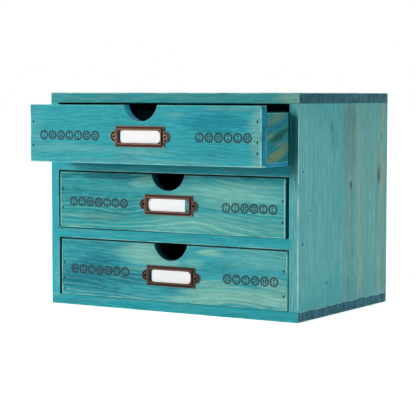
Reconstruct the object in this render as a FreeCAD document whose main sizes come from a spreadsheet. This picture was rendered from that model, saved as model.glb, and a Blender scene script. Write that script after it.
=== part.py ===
"""Button storage drawers: a small wooden case with three drawers.

The case is six boards and a ply back, nailed together with the shelves housed in the sides.
Each drawer is a nailed box behind a front with a finger notch, and the front carries a cast
label holder with a blank card. Millimetres; +X to the right, +Y to the back, +Z up. The
origin is the middle of the case's underside.
"""

import FreeCAD, Part
import os
import re

import Sketcher
from FreeCAD import Placement, Rotation, Vector

doc = FreeCAD.newDocument("ButtonStorageDrawers")

# ---------------------------------------------------------------- driving dimensions

SIZES = {
    # the case
    "case_width": 253.0,
    "case_depth": 169.0,
    "case_height": 190.0,
    "board_thickness": 9.0,
    "shelf_thickness": 9.0,
    "housing_depth": 2.0,
    "back_thickness": 3.0,
    "rebate_width": 5.0,
    "back_clearance": 0.25,
    "arris": 0.5,
    # the drawers, each a front with a box behind it
    "front_thickness": 9.0,
    "box_side_thickness": 7.0,
    "box_back_thickness": 7.0,
    "box_bottom_thickness": 3.0,
    "box_drop": 6.0,
    "drawer_side_play": 1.5,
    "drawer_floor_gap": 0.3,
    "drawer_top_gap": 1.4,
    "drawer_rear_gap": 0.3,
    "notch_radius": 17.0,
    "notch_depth": 13.8,
    # brads: a wide head on a flat wire, driven just under the surface
    "brad_length": 25.0,
    "brad_width": 1.25,
    "brad_thickness": 1.4,
    "brad_head_width": 2.2,
    "brad_head_height": 0.8,
    "brad_sink": 0.5,
    # headless square pins for the ply
    "pin_length": 12.0,
    "pin_width": 1.2,
    "pin_sink": 0.3,
    # where the brads and pins stand
    "corner_inset": 15.0,
    "shelf_brad_inset": 8.0,
    "pin_margin": 4.0,
    "pin_spacing": 60.0,
    # the label holder
    "frame_length": 49.0,
    "frame_height": 17.7,
    "foot_width": 1.4,
    "rim_width": 1.0,
    "rim_height": 1.0,
    "bead_inset": 2.65,
    "bead_radius": 0.5,
    "bead_rise": 0.3,
    "bead_shoulder": 0.15,
    "lip_thickness": 0.5,
    "lip_reach": 0.2,
    "window_radius": 3.8,
    "slot_clearance": 0.15,
    "ear_radius": 4.75,
    "ear_bead_width": 0.8,
    "ear_bead_height": 0.35,
    # the tubular pins of the holder, and how far out on the ears they stand
    "tube_reach": 1.25,
    "tube_length": 8.0,
    "tube_radius": 1.15,
    "tube_wall": 0.3,
    "tube_bore_depth": 1.5,
    "tube_flange": 0.75,
    "tube_head_height": 0.5,
    "tube_clearance": 0.05,
    # the card, and the room that it has in the holder
    "card_thickness": 0.35,
    "card_play": 3.25,
    "card_seat_gap": 0.1,
    "card_headroom": 0.6,
}

# Each drawer by itself: how far it stands open, where in its side play it stands, how far
# its notch and label holder are off its middle, the wood between notch and holder, and
# where in its own play the card lies. A play of 1 is hard right and -1 is hard left.
DRAWERS = {
    "bottom": {"open": 0.0, "play": 0.35, "notch": 0.7, "holder": 1.2, "wood": 4.8, "card": 0.15},
    "middle": {"open": 0.0, "play": -0.5, "notch": -0.7, "holder": 0.3, "wood": 3.4, "card": -0.95},
    "top": {"open": 45.0, "play": 0.5, "notch": -0.6, "holder": -0.6, "wood": 3.8, "card": 0.1},
}

# Heights of the brads in each front, as shares of the height of the box sides behind it.
FRONT_BRADS = {
    "bottom": {"left": (0.05, 0.29, 0.63), "right": (0.22, 0.74)},
    "middle": {"left": (0.35, 0.77), "right": (0.25, 0.68)},
    "top": {"left": (0.28, 0.78), "right": (0.20, 0.42, 0.83)},
}

# The brads through each box side into the back, in the same way.
BACK_BRADS = (0.25, 0.75)

# What follows from the driving dimensions.
LAYOUT = {
    # the case
    "case_left": "-case_width / 2",
    "case_right": "case_width / 2",
    "case_front": "-case_depth / 2",
    "case_rear": "case_depth / 2",
    "inner_width": "case_width - 2 * board_thickness",
    "inner_depth": "case_depth - back_thickness",
    "side_height": "case_height - 2 * board_thickness",
    "bay_height": "(side_height - 2 * shelf_thickness) / 3",
    "shelf_length": "inner_width + 2 * housing_depth",
    "rebate_length": "inner_width + 2 * rebate_width",
    "panel_width": "rebate_length - 2 * back_clearance",
    "panel_height": "side_height + 2 * rebate_width - 2 * back_clearance",
    "lower_shelf_z": "board_thickness + bay_height",
    "upper_shelf_z": "board_thickness + 2 * bay_height + shelf_thickness",
    # a drawer
    "front_width": "inner_width - 2 * drawer_side_play",
    "front_height": "bay_height - drawer_floor_gap - drawer_top_gap",
    "box_length": "inner_depth - drawer_rear_gap - front_thickness",
    "box_height": "front_height - box_drop - box_bottom_thickness",
    "box_inner_width": "front_width - 2 * box_side_thickness",
    "drawer_length": "front_thickness + box_length",
    # the label holder
    "frame_half_length": "frame_length / 2",
    "frame_half_height": "frame_height / 2",
    "pocket_length": "frame_length - 2 * foot_width",
    "pocket_height": "frame_height - 2 * foot_width",
    "lip_top": "rim_height + lip_thickness",
    "lip_length": "frame_length - 2 * bead_inset",
    "lip_height": "frame_height - 2 * bead_inset",
    "bead_height": "lip_top + bead_rise",
    "moulding_width": "bead_inset + bead_radius + bead_shoulder",
    "window_length": "frame_length - 2 * moulding_width - 2 * lip_reach",
    "window_height": "frame_height - 2 * moulding_width - 2 * lip_reach",
    "ear_height": "rim_height + ear_bead_height",
    "slot_height": "card_thickness + slot_clearance",
    "tube_x": "frame_half_length + tube_reach",
    "tube_hole_radius": "tube_radius + tube_clearance",
    "tube_bore_radius": "tube_radius - tube_wall",
    "tube_head_radius": "tube_radius + tube_flange",
    # the card
    "card_length": "pocket_length - 2 * card_play",
    "card_height": "pocket_height - card_seat_gap - card_headroom",
}

for level, (drawer, own) in enumerate(DRAWERS.items()):
    for name, value in own.items():
        SIZES[f"{drawer}_{name}"] = value
    for side, shares in FRONT_BRADS[drawer].items():
        for number, share in enumerate(shares):
            SIZES[f"{drawer}_{side}_brad_{number}"] = share
    LAYOUT |= {
        f"{drawer}_left": f"{drawer}_play * drawer_side_play - front_width / 2",
        f"{drawer}_right": f"{drawer}_left + front_width",
        f"{drawer}_y": f"case_front - {drawer}_open",
        f"{drawer}_z": f"board_thickness + {level} * (bay_height + shelf_thickness)"
        " + drawer_floor_gap",
        f"{drawer}_holder_x": f"{drawer}_left + front_width / 2 + {drawer}_holder",
        f"{drawer}_holder_z": f"{drawer}_z + front_height - notch_depth - {drawer}_wood"
        " - frame_half_height",
    }
for number, share in enumerate(BACK_BRADS):
    SIZES[f"back_brad_{number}"] = share

HOME = {alias: "Sizes" for alias in SIZES} | {alias: "Layout" for alias in LAYOUT}


def cells(text):
    """An expression in the cells' names, with each cell's sheet put before its name."""
    return re.sub(r"[a-z]\w*", lambda word: f"{HOME[word[0]]}.{word[0]}", text)


def make_sheet(name, contents):
    """A spreadsheet with a name, a content and an alias in each row."""
    sheet = doc.addObject("Spreadsheet::Sheet", name)
    for row, (alias, content) in enumerate(contents.items(), start=1):
        sheet.set(f"A{row}", alias)
        sheet.set(f"B{row}", content)
        sheet.setAlias(f"B{row}", alias)
    doc.recompute()
    return sheet


sizes = make_sheet("Sizes", {alias: str(value) for alias, value in SIZES.items()})
layout = make_sheet("Layout", {alias: "=" + cells(text) for alias, text in LAYOUT.items()})

# ---------------------------------------------------------------- helpers

X_AXIS = Vector(1, 0, 0)
Y_AXIS = Vector(0, 1, 0)
Z_AXIS = Vector(0, 0, 1)

pieces = []


def bind(target, path, text):
    """Tie one property to the sheets."""
    target.setExpression(path, cells(text))


def size(text):
    """The present value of one cell, which may have a minus sign before its name."""
    name = text.lstrip("-")
    value = 0.0 if name == "0" else getattr(sizes if name in SIZES else layout, name)
    return -value if text.startswith("-") else value


def place(target, x, y, z):
    """Tie a piece's position to the sheets."""
    for letter, text in zip("xyz", (x, y, z)):
        bind(target, f"Placement.Base.{letter}", text)


def make_body(name, x="0", y="0", z="0"):
    body = doc.addObject("PartDesign::Body", name)
    place(body, x, y, z)
    return body


def make_sketch(body, plane, offset="0"):
    """A sketch on one of the body's origin planes, or at an offset along its normal."""
    sketch = body.newObject("Sketcher::SketchObject", f"{body.Name}_sketch")
    support = next(f for f in body.Origin.OriginFeatures if f.Role == plane)
    sketch.AttachmentSupport = [(support, "")]
    sketch.MapMode = "FlatFace"
    bind(sketch, "AttachmentOffset.Base.z", offset)
    return sketch


def constrain(sketch, constraint, text):
    """Add a dimension to a sketch and tie it to the sheets."""
    index = sketch.addConstraint(constraint)
    bind(sketch, f"Constraints[{index}]", text)


def fix_point(sketch, edge, end, x, y):
    """Hold an edge's start (1), end (2) or centre (3) at its distances from the origin."""
    constrain(sketch, Sketcher.Constraint("DistanceX", -1, 1, edge, end, 1.0), x)
    constrain(sketch, Sketcher.Constraint("DistanceY", -1, 1, edge, end, 1.0), y)


def join_ends(sketch, edges):
    """Make each edge end where the next one starts, all the way round."""
    for edge, following in zip(edges, edges[1:] + edges[:1]):
        sketch.addConstraint(Sketcher.Constraint("Coincident", edge, 2, following, 1))


def draw_rectangle(sketch, left, low, width, height):
    """A rectangle from its lower left corner, its width and its height."""
    corners = [Vector(0, 0, 0), Vector(9, 0, 0), Vector(9, 9, 0), Vector(0, 9, 0)]
    lines = [Part.LineSegment(a, b) for a, b in zip(corners, corners[1:] + corners[:1])]
    base, right, top, side = edges = [sketch.addGeometry(line, False) for line in lines]
    join_ends(sketch, edges)
    for edge in (base, top):
        sketch.addConstraint(Sketcher.Constraint("Horizontal", edge))
    for edge in (right, side):
        sketch.addConstraint(Sketcher.Constraint("Vertical", edge))
    constrain(sketch, Sketcher.Constraint("DistanceX", base, 1, base, 2, 9.0), width)
    constrain(sketch, Sketcher.Constraint("DistanceY", right, 1, right, 2, 9.0), height)
    fix_point(sketch, base, 1, left, low)


def draw_centred_rectangle(sketch, width, height):
    draw_rectangle(sketch, f"-({width}) / 2", f"-({height}) / 2", width, height)


def draw_circle(sketch, x, y, radius):
    circle = sketch.addGeometry(Part.Circle(Vector(0, 0, 0), Z_AXIS, 1.0), False)
    constrain(sketch, Sketcher.Constraint("Radius", circle, 1.0), radius)
    fix_point(sketch, circle, 3, x, y)


def draw_outline(sketch, corners):
    """A closed outline through corners, each an x and a y.

    A corner with a third value is a half round instead: its middle is at x, y, the third
    value is its radius, and it goes over the top from right to left.
    """
    ends = []
    for x, y, *radius in corners:
        middle = Vector(size(x), size(y), 0)
        reach = Vector(size(*radius) if radius else 0, 0, 0)
        ends.append((middle + reach, middle - reach))
    edges = []
    for i, (x, y, *radius) in enumerate(corners):
        start, end = ends[i]
        if radius:
            crown = (start + end) / 2 + Vector(0, size(*radius), 0)
            edges.append(sketch.addGeometry(Part.Arc(start, crown, end), False))
            constrain(sketch, Sketcher.Constraint("Radius", edges[-1], 1.0), *radius)
            fix_point(sketch, edges[-1], 3, x, y)
            for tip in (1, 2):
                level = Sketcher.Constraint("Horizontal", edges[-1], tip, edges[-1], 3)
                sketch.addConstraint(level)
        line = Part.LineSegment(end, ends[(i + 1) % len(ends)][0])
        edges.append(sketch.addGeometry(line, False))
        if not radius:
            fix_point(sketch, edges[-1], 1, x, y)
    join_ends(sketch, edges)


def pad(body, sketch, length, backwards=False):
    """Thicken a sketch along its normal, or against it."""
    feature = body.newObject("PartDesign::Pad", f"{body.Name}_pad")
    feature.Profile = sketch
    bind(feature, "Length", length)
    feature.Reversed = backwards
    doc.recompute()
    return feature


def pocket(body, sketch, length=None, along_normal=False):
    """Cut a sketch out of the body, right through it where no length is given."""
    before = body.Shape.Volume
    feature = body.newObject("PartDesign::Pocket", f"{body.Name}_pocket")
    feature.Profile = sketch
    if length is None:
        feature.Type = "ThroughAll"
    else:
        bind(feature, "Length", length)
    feature.Reversed = along_normal
    doc.recompute()
    if not feature.Shape.Volume < before:
        raise RuntimeError(f"{feature.Name} cuts nothing")
    return feature


def straight_edges(feature, *axes):
    """A feature's straight edges that run along one of the axes, each with its name."""
    for number, edge in enumerate(feature.Shape.Edges, start=1):
        if isinstance(edge.Curve, Part.Line):
            direction = edge.tangentAt(edge.FirstParameter)
            if any(abs(direction.dot(axis)) > 0.999 for axis in axes):
                yield f"Edge{number}", edge


def ease(body, feature, *axes, also=()):
    """Take the sharp arris off the straight edges along the axes, and off some others."""
    chamfer = body.newObject("PartDesign::Chamfer", f"{body.Name}_arris")
    chamfer.Base = (feature, [name for name, _ in straight_edges(feature, *axes)] + list(also))
    bind(chamfer, "Size", "arris")
    doc.recompute()
    return chamfer


def finish(body, label, *sockets):
    """Cut its fasteners' sockets out of a piece and give it the name it is known by."""
    piece = body
    if sockets:
        holes = doc.addObject("Part::Compound", f"{label}_holes")
        holes.Links = list(sockets)
        piece = doc.addObject("Part::Cut", f"{label}_bored")
        piece.Base = body
        piece.Tool = holes
        doc.recompute()
        if not piece.Shape.Volume < body.Shape.Volume:
            raise RuntimeError(f"{label} has no sockets")
    piece.Label = label
    pieces.append(piece)


# ---------------------------------------------------------------- fasteners

# Each fastener is modelled once, driven down from the origin, which is the point on the
# surface that it goes in at. Its socket is the same shape carried up to that surface.
TOWARDS = {
    "down": Rotation(),
    "up": Rotation(X_AXIS, 180),
    "back": Rotation(X_AXIS, 90),
    "forward": Rotation(X_AXIS, -90),
    "right": Rotation(Y_AXIS, -90),
    "left": Rotation(Y_AXIS, 90),
}


def make_brad(name, top, head_height):
    """A flat wire with a wider head, from top down to the depth that it is driven to."""
    body = make_body(name)
    for width, depth in (
        ("brad_head_width", head_height),
        ("brad_width", f"brad_sink + brad_length - ({top})"),
    ):
        sketch = make_sketch(body, "XY_Plane", f"-({top})")
        draw_centred_rectangle(sketch, "brad_thickness", width)
        pad(body, sketch, depth, backwards=True)
    return body


def make_pin(name, top):
    """A headless square pin, from top down to the depth that it is driven to."""
    body = make_body(name)
    sketch = make_sketch(body, "XY_Plane", f"-({top})")
    draw_centred_rectangle(sketch, "pin_width", "pin_width")
    pad(body, sketch, f"pin_sink + pin_length - ({top})", backwards=True)
    return body


def make_tube_pin(name):
    """A tubular pin: a sloping ring for a head over a short bore in the shank."""
    body = make_body(name)
    sketch = make_sketch(body, "XZ_Plane")
    draw_outline(
        sketch,
        [
            ("0", "-tube_bore_depth"),
            ("0", "-tube_length"),
            ("tube_radius", "-tube_length"),
            ("tube_radius", "0"),
            ("tube_head_radius", "0"),
            ("tube_bore_radius", "tube_head_height"),
            ("tube_bore_radius", "-tube_bore_depth"),
        ],
    )
    turned = body.newObject("PartDesign::Revolution", f"{name}_turned")
    turned.Profile = sketch
    turned.ReferenceAxis = (sketch, ["V_Axis"])
    doc.recompute()
    return body


def make_tube_socket(name):
    body = make_body(name)
    sketch = make_sketch(body, "XY_Plane")
    draw_circle(sketch, "0", "0", "tube_hole_radius")
    pad(body, sketch, "tube_length", backwards=True)
    return body


FASTENERS = {
    "brad": (
        make_brad("brad", "brad_sink", "brad_head_height"),
        make_brad("brad_socket", "0", "brad_sink + brad_head_height"),
    ),
    "pin": (make_pin("pin", "pin_sink"), make_pin("pin_socket", "0")),
    "tube": (make_tube_pin("tube_pin"), make_tube_socket("tube_socket")),
}


def drive(label, kind, spots):
    """Drive like fasteners as one named group, and return the group of their sockets.

    Each spot is a direction and the point where the fastener goes in.
    """
    groups = []
    for master, suffix in zip(FASTENERS[kind], ("", "_sockets")):
        links = []
        for towards, x, y, z in spots:
            link = doc.addObject("App::Link", f"{label}{suffix}_link")
            link.LinkedObject = master
            link.Placement = Placement(Vector(), TOWARDS[towards])
            place(link, x, y, z)
            links.append(link)
        group = doc.addObject("Part::Compound", f"{label}{suffix}_group")
        group.Links = links
        groups.append(group)
    fasteners, sockets = groups
    finish(fasteners, label)
    return sockets


# ---------------------------------------------------------------- the case


def make_end_board(label, z, rebate_z, *sockets):
    """The top or the bottom board, which runs over the sides' ends, with a stopped rebate."""
    body = make_body(f"{label}_board", "case_left", "case_front", z)
    sketch = make_sketch(body, "XY_Plane")
    draw_rectangle(sketch, "0", "0", "case_width", "case_depth")
    board = pad(body, sketch, "board_thickness")
    ease(body, board, X_AXIS, Y_AXIS, Z_AXIS)
    rebate = make_sketch(body, "XY_Plane", rebate_z)
    draw_rectangle(
        rebate, "board_thickness - rebate_width", "inner_depth", "rebate_length", "back_thickness"
    )
    pocket(body, rebate, "rebate_width", along_normal=True)
    finish(body, label, *sockets)


def make_case_side(label, x, housing_x, rebate_x, *sockets):
    """A side, with two housings for the shelves and a rebate for the back in its inner face."""
    body = make_body(f"{label}_board", x, "case_front", "board_thickness")
    sketch = make_sketch(body, "YZ_Plane")
    draw_rectangle(sketch, "0", "0", "case_depth", "side_height")
    board = pad(body, sketch, "board_thickness")
    ease(body, board, Z_AXIS)
    housings = make_sketch(body, "YZ_Plane", housing_x)
    for shelf_z in ("lower_shelf_z", "upper_shelf_z"):
        draw_rectangle(
            housings, "0", f"{shelf_z} - board_thickness", "inner_depth", "shelf_thickness"
        )
    pocket(body, housings, "housing_depth", along_normal=True)
    rebate = make_sketch(body, "YZ_Plane", rebate_x)
    draw_rectangle(rebate, "inner_depth", "0", "back_thickness", "side_height")
    pocket(body, rebate, "rebate_width", along_normal=True)
    finish(body, label, *sockets)


def make_shelf(label, z, *sockets):
    """A shelf, which is the runner of the drawer on it and shows as a rail between fronts."""
    x = "case_left + board_thickness - housing_depth"
    body = make_body(f"{label}_board", x, "case_front", z)
    sketch = make_sketch(body, "XY_Plane")
    draw_rectangle(sketch, "0", "0", "shelf_length", "inner_depth")
    board = pad(body, sketch, "shelf_thickness")
    ease(body, board, X_AXIS)
    finish(body, label, *sockets)


def make_back_panel(label, *sockets):
    """Ply let into the rebate, flush with the back of the case."""
    edge = "board_thickness - rebate_width + back_clearance"
    body = make_body(f"{label}_ply", f"case_left + {edge}", "case_front + inner_depth", edge)
    sketch = make_sketch(body, "XZ_Plane")
    draw_rectangle(sketch, "0", "0", "panel_width", "panel_height")
    pad(body, sketch, "back_thickness", backwards=True)
    finish(body, label, *sockets)


def drive_end_brads(label, towards, z):
    """Three brads through an end board into each side."""
    return drive(
        label,
        "brad",
        [
            (towards, x, y, z)
            for x in ("case_left + board_thickness / 2", "case_right - board_thickness / 2")
            for y in ("case_front + corner_inset", "0", "case_rear - corner_inset")
        ],
    )


def drive_shelf_brads(label, towards, x):
    """A brad through a side into each shelf's end, near the front; a housing holds the rest."""
    y = "case_front + shelf_brad_inset"
    levels = ("lower_shelf_z + shelf_thickness / 2", "upper_shelf_z + shelf_thickness / 2")
    return drive(label, "brad", [(towards, x, y, z) for z in levels])


def drive_panel_pins(label):
    """Pins round the edge of the back, and into the shelves across its middle."""
    rebate_x = "(inner_width + rebate_width) / 2"
    sides = [
        (x, f"case_height / 2 {sign} pin_spacing")
        for x in (f"-{rebate_x}", rebate_x)
        for sign in "-+"
    ]
    levels = (
        "board_thickness - rebate_width / 2",
        "lower_shelf_z + shelf_thickness / 2",
        "upper_shelf_z + shelf_thickness / 2",
        "board_thickness + side_height + rebate_width / 2",
    )
    across = [(x, z) for x in ("-pin_spacing", "pin_spacing") for z in levels]
    return drive(label, "pin", [("forward", x, "case_rear", z) for x, z in sides + across])


def make_case():
    top = drive_end_brads("top_board_brads", "down", "case_height")
    base = drive_end_brads("bottom_board_brads", "up", "0")
    left = drive_shelf_brads("left_side_brads", "right", "case_left")
    right = drive_shelf_brads("right_side_brads", "left", "case_right")
    back = drive_panel_pins("back_panel_pins")
    make_end_board("case_top", "case_height - board_thickness", "0", top, back)
    make_end_board("case_bottom", "0", "board_thickness - rebate_width", base, back)
    make_case_side(
        "case_left_side",
        "case_left",
        "board_thickness - housing_depth",
        "board_thickness - rebate_width",
        *(top, base, left, back),
    )
    right_x = "case_right - board_thickness"
    make_case_side("case_right_side", right_x, "0", "0", top, base, right, back)
    make_shelf("lower_shelf", "lower_shelf_z", left, right, back)
    make_shelf("upper_shelf", "upper_shelf_z", left, right, back)
    make_back_panel("back_panel", back)


# ---------------------------------------------------------------- the drawers


def make_front(drawer, *sockets):
    """The front, with its finger notch."""
    label = f"{drawer}_drawer_front"
    body = make_body(f"{label}_board", f"{drawer}_left", f"{drawer}_y", f"{drawer}_z")
    sketch = make_sketch(body, "XZ_Plane")
    draw_rectangle(sketch, "0", "0", "front_width", "front_height")
    pad(body, sketch, "front_thickness", backwards=True)
    scoop = make_sketch(body, "XZ_Plane")
    draw_circle(
        scoop,
        f"front_width / 2 + {drawer}_notch",
        "front_height - notch_depth + notch_radius",
        "notch_radius",
    )
    notched = pocket(body, scoop)
    arcs = [
        f"Edge{number}"
        for number, edge in enumerate(notched.Shape.Edges, start=1)
        if isinstance(edge.Curve, Part.Circle)
    ]
    ease(body, notched, X_AXIS, Z_AXIS, also=arcs)
    finish(body, label, *sockets)


def make_box_side(drawer, side, x, *sockets):
    """A side of the box, which stands on the ply and ends at the back of the front."""
    label = f"{drawer}_drawer_{side}_side"
    y = f"{drawer}_y + front_thickness"
    body = make_body(f"{label}_board", x, y, f"{drawer}_z + box_bottom_thickness")
    sketch = make_sketch(body, "YZ_Plane")
    draw_rectangle(sketch, "0", "0", "box_length", "box_height")
    board = pad(body, sketch, "box_side_thickness")
    ease(body, board, Y_AXIS)
    finish(body, label, *sockets)


def make_box_back(drawer, *sockets):
    """The back of the box, between its sides."""
    label = f"{drawer}_drawer_back"
    body = make_body(
        f"{label}_board",
        f"{drawer}_left + box_side_thickness",
        f"{drawer}_y + drawer_length - box_back_thickness",
        f"{drawer}_z + box_bottom_thickness",
    )
    sketch = make_sketch(body, "XZ_Plane")
    draw_rectangle(sketch, "0", "0", "box_inner_width", "box_height")
    board = pad(body, sketch, "box_back_thickness", backwards=True)
    ease(body, board, X_AXIS)
    finish(body, label, *sockets)


def make_box_bottom(drawer, *sockets):
    """Ply under the sides and the back, with its front edge behind the front."""
    label = f"{drawer}_drawer_bottom"
    y = f"{drawer}_y + front_thickness"
    body = make_body(f"{label}_ply", f"{drawer}_left", y, f"{drawer}_z")
    sketch = make_sketch(body, "XY_Plane")
    draw_rectangle(sketch, "0", "0", "front_width", "box_length")
    pad(body, sketch, "box_bottom_thickness")
    finish(body, label, *sockets)


def make_label_holder(drawer):
    """A cast frame: a flat rim, a beaded moulding mitred round it, a lip and two ears."""
    label = f"{drawer}_label_holder"
    body = make_body(
        f"{label}_casting", f"{drawer}_holder_x", f"{drawer}_y", f"{drawer}_holder_z"
    )
    ears = make_sketch(body, "XZ_Plane")
    dishes = make_sketch(body, "XZ_Plane", "ear_height")
    for x in ("-frame_half_length", "frame_half_length"):
        draw_circle(ears, x, "0", "ear_radius")
        draw_circle(dishes, x, "0", "ear_radius - ear_bead_width")
    pad(body, ears, "ear_height")
    pocket(body, dishes, "ear_bead_height")
    rim = make_sketch(body, "XZ_Plane")
    draw_centred_rectangle(rim, "frame_length", "frame_height")
    pad(body, rim, "rim_height")
    card_space = make_sketch(body, "XZ_Plane")
    draw_centred_rectangle(card_space, "pocket_length", "pocket_height")
    pocket(body, card_space, along_normal=True)

    outer_edge = make_sketch(body, "XZ_Plane")
    draw_outline(
        outer_edge,
        [
            ("0", "-frame_half_height"),
            ("frame_half_length", "-frame_half_height"),
            ("frame_half_length", "frame_half_height"),
            ("-frame_half_length", "frame_half_height"),
            ("-frame_half_length", "-frame_half_height"),
        ],
    )
    # The section stands on the outer edge, turned so that its x runs towards the window
    # and its y away from the wood.
    section = make_sketch(body, "YZ_Plane")
    section.AttachmentOffset = Placement(Vector(), Rotation(Z_AXIS, 90))
    bind(section, "AttachmentOffset.Base.y", "-frame_half_height")
    draw_outline(
        section,
        [
            ("0", "0"),
            ("foot_width", "0"),
            ("foot_width", "rim_height"),
            ("moulding_width", "rim_height"),
            ("moulding_width", "lip_top"),
            ("bead_inset", "bead_height", "bead_radius"),
            ("rim_width", "rim_height"),
            ("0", "rim_height"),
        ],
    )
    moulding = body.newObject("PartDesign::AdditivePipe", f"{label}_moulding")
    moulding.Profile = section
    moulding.Spine = outer_edge
    moulding.Transition = "Right corner"
    doc.recompute()

    lip = make_sketch(body, "XZ_Plane", "rim_height")
    draw_centred_rectangle(lip, "lip_length", "lip_height")
    pad(body, lip, "lip_thickness")

    window = make_sketch(body, "XZ_Plane")
    draw_centred_rectangle(window, "window_length", "window_height")
    opened = pocket(body, window, along_normal=True)
    reach = Vector(size("window_length"), 0, size("window_height")) / 2
    corners = [
        name
        for name, edge in straight_edges(opened, Y_AXIS)
        if abs(abs(edge.CenterOfMass.x) - reach.x) < 1e-6
        and abs(abs(edge.CenterOfMass.z) - reach.z) < 1e-6
    ]
    rounding = body.newObject("PartDesign::Fillet", f"{label}_rounding")
    rounding.Base = (opened, corners)
    bind(rounding, "Radius", "window_radius")
    doc.recompute()

    holes = make_sketch(body, "XZ_Plane")
    for x in ("-tube_x", "tube_x"):
        draw_circle(holes, x, "0", "tube_hole_radius")
    pocket(body, holes, along_normal=True)
    slot = make_sketch(body, "XZ_Plane")
    draw_rectangle(slot, "-pocket_length / 2", "pocket_height / 2", "pocket_length", "foot_width")
    pocket(body, slot, "slot_height", along_normal=True)
    finish(body, label)


def make_label_card(drawer):
    """The card, loose behind the window and standing on the holder's lower rim."""
    label = f"{drawer}_label_card"
    x = f"{drawer}_holder_x + {drawer}_card * card_play - card_length / 2"
    z = f"{drawer}_holder_z - pocket_height / 2 + card_seat_gap"
    body = make_body(f"{label}_sheet", x, f"{drawer}_y", z)
    sketch = make_sketch(body, "XZ_Plane")
    draw_rectangle(sketch, "0", "0", "card_length", "card_height")
    pad(body, sketch, "card_thickness")
    finish(body, label)


def drive_front_brads(drawer):
    """Brads through the front into the ends of the sides, at uneven heights."""
    rows = {
        "left": f"{drawer}_left + box_side_thickness / 2",
        "right": f"{drawer}_right - box_side_thickness / 2",
    }
    foot = f"{drawer}_z + box_bottom_thickness"
    spots = [
        ("back", x, f"{drawer}_y", f"{foot} + {drawer}_{side}_brad_{number} * box_height")
        for side, x in rows.items()
        for number in range(len(FRONT_BRADS[drawer][side]))
    ]
    return drive(f"{drawer}_drawer_front_brads", "brad", spots)


def drive_side_brads(drawer):
    """Brads through the sides into the ends of the back."""
    y = f"{drawer}_y + drawer_length - box_back_thickness / 2"
    foot = f"{drawer}_z + box_bottom_thickness"
    spots = [
        (towards, x, y, f"{foot} + back_brad_{number} * box_height")
        for towards, x in (("right", f"{drawer}_left"), ("left", f"{drawer}_right"))
        for number in range(len(BACK_BRADS))
    ]
    return drive(f"{drawer}_drawer_side_brads", "brad", spots)


def drive_bottom_pins(drawer):
    """Pins up through the ply into the sides, clear of the front's brads, and the back."""
    first = f"{drawer}_y + brad_sink + brad_length + pin_margin"
    last = f"{drawer}_y + drawer_length - box_back_thickness - pin_margin"
    spots = [
        (x, y)
        for x in (
            f"{drawer}_left + box_side_thickness / 2",
            f"{drawer}_right - box_side_thickness / 2",
        )
        for y in (first, f"({first} + {last}) / 2", last)
    ]
    middle = f"{drawer}_left + front_width / 2"
    back_y = f"{drawer}_y + drawer_length - box_back_thickness / 2"
    spots += [(f"{middle} - pin_spacing", back_y), (f"{middle} + pin_spacing", back_y)]
    label = f"{drawer}_drawer_bottom_pins"
    return drive(label, "pin", [("up", x, y, f"{drawer}_z") for x, y in spots])


def drive_holder_pins(drawer):
    """Two tubular pins through the ears of the label holder into the front."""
    y = f"{drawer}_y - rim_height"
    z = f"{drawer}_holder_z"
    spots = [("back", f"{drawer}_holder_x {sign} tube_x", y, z) for sign in "-+"]
    return drive(f"{drawer}_holder_pins", "tube", spots)


def make_drawer(drawer):
    front = drive_front_brads(drawer)
    side = drive_side_brads(drawer)
    bottom = drive_bottom_pins(drawer)
    holder = drive_holder_pins(drawer)
    make_front(drawer, front, holder)
    make_box_side(drawer, "left", f"{drawer}_left", front, side, bottom)
    right_x = f"{drawer}_right - box_side_thickness"
    make_box_side(drawer, "right", right_x, front, side, bottom)
    make_box_back(drawer, side, bottom)
    make_box_bottom(drawer, bottom)
    make_label_holder(drawer)
    make_label_card(drawer)


# ---------------------------------------------------------------- build, check and write


def check():
    """Refuse a document with a failed object or a piece with no sound shape."""
    failed = [item.Label for item in doc.Objects if {"Invalid", "Error"} & set(item.State)]
    failed += [piece.Label for piece in pieces if piece.Shape.isNull() or not piece.Shape.isValid()]
    if failed:
        raise RuntimeError(f"failed: {failed}")


def write():
    os.makedirs("parts", exist_ok=True)
    for piece in pieces:
        piece.Shape.exportStep(f"parts/{piece.Label}.step")
        print(f"{piece.Label}: {len(piece.Shape.Solids)} solid, {piece.Shape.Volume:.1f} mm3")


make_case()
for drawer in DRAWERS:
    make_drawer(drawer)
doc.recompute()
check()
write()
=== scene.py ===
# %% [markdown]
# # Button storage drawers
#
# A small wooden cabinet holds three shallow drawers for buttons and thread. It is nailed up from
# thin softwood boards and rubbed with a turquoise stain, so the wood's figure still shows through
# the colour. Each drawer front has a finger notch, and a cast label holder with a blank card.
#
# The construction model already has every board, nail and holder at its real size. This lesson
# gives those pieces their finish: one solid wood pattern that runs through each board, a stain
# that takes unevenly, corners worn pale by hands, and copper gone brown with age. It also prints
# a row of buttons on the fronts, and sets up the studio.

# %% Load the construction model
import math

import bpy
import numpy as np
from mathutils import Matrix, Vector


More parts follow.
